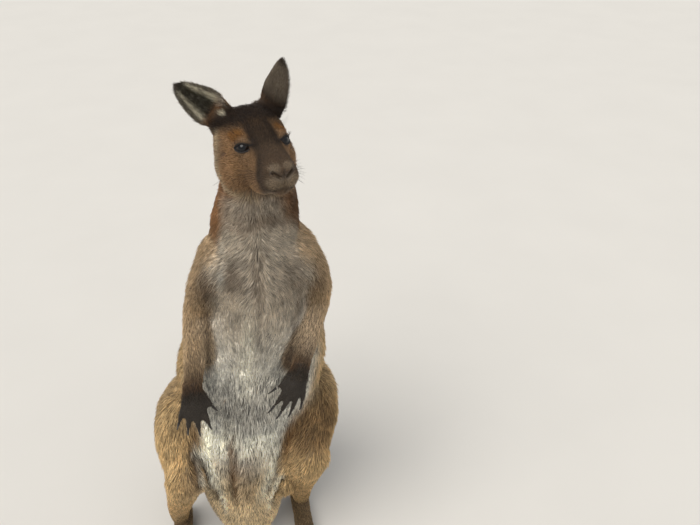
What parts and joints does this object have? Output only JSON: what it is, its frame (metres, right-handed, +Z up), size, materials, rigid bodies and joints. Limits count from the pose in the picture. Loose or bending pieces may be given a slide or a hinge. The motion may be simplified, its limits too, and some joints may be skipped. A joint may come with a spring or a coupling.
{
  "type": "western grey kangaroo",
  "caption": "Life-size still model of a standing western grey kangaroo: upright trunk, small forelimbs, heavy hind legs, long thick tail resting behind, large oval ears.",
  "frame": {"origin": "on the floor, in the middle of the animal's bounding box", "axes": "+Z up, -Y the way the body faces, +X the animal's own left"},
  "size_m": [0.4234, 1.1208, 1.1713],
  "materials": {
    "body_fur": "dense grizzled grey-brown fur",
    "head_fur": "short close brown fur, dark on the crown",
    "limb_fur": "fur, tan on the thighs and darker down the arms",
    "paw_fur": "very short dark fur over bare pads",
    "ear_fur": "short fur, pale fringe inside",
    "eye": "wet, dark brown",
    "claw": "dark horn, satin"
  },
  "bodies": {
    "root": {"claw_foot_l_2": "claw", "claw_foot_l_3": "claw", "claw_foot_l_4": "claw", "claw_foot_l_5": "claw", "claw_foot_r_2": "claw", "claw_foot_r_3": "claw", "claw_foot_r_4": "claw", "claw_foot_r_5": "claw", "claw_hand_l_1": "claw", "claw_hand_l_2": "claw", "claw_hand_l_3": "claw", "claw_hand_l_4": "claw", "claw_hand_l_5": "claw", "claw_hand_r_1": "claw", "claw_hand_r_2": "claw", "claw_hand_r_3": "claw", "claw_hand_r_4": "claw", "claw_hand_r_5": "claw", "ear_l": "ear_fur", "ear_r": "ear_fur", "eye_l": "eye", "eye_r": "eye", "foot_l": "paw_fur", "foot_r": "paw_fur", "forearm_l": "limb_fur", "forearm_r": "limb_fur", "hand_l": "paw_fur", "hand_r": "paw_fur", "head": "head_fur", "neck": "body_fur", "shank_l": "limb_fur", "shank_r": "limb_fur", "tail_base": "body_fur", "tail_tip": "body_fur", "thigh_l": "limb_fur", "thigh_r": "limb_fur", "trunk": "body_fur", "upper_arm_l": "limb_fur", "upper_arm_r": "limb_fur"}
  },
  "joints": []
}
